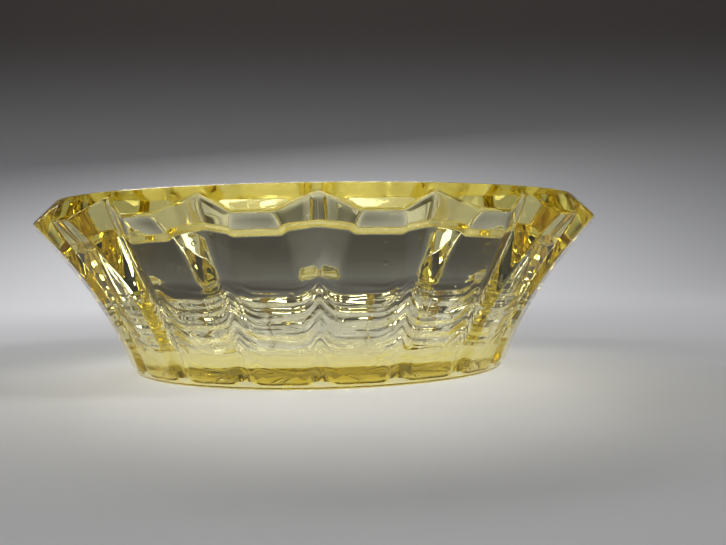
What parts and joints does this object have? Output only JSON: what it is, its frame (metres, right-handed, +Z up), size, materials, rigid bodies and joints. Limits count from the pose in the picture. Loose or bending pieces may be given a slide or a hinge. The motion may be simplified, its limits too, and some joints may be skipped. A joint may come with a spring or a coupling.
{
  "type": "dish",
  "caption": "Heavy pressed-glass dish in clear pale yellow: flared wall of lobes and V grooves, bevelled scalloped rim, ledge inside the mouth, thick floor, round foot.",
  "frame": {"origin": "centre of the flat underside of the foot, on the dish's own axis", "axes": "+Z up through the open mouth; -Y and +Y through the middle of a groove, -X and +X through the middle of a lobe"},
  "size_m": [0.16, 0.159, 0.048],
  "materials": {
    "uranium_glass": "clear, fire-polished, pale straw yellow where thin and olive yellow where the light's path is long"
  },
  "bodies": {
    "root": {"glass_dish": "uranium_glass"}
  },
  "joints": []
}
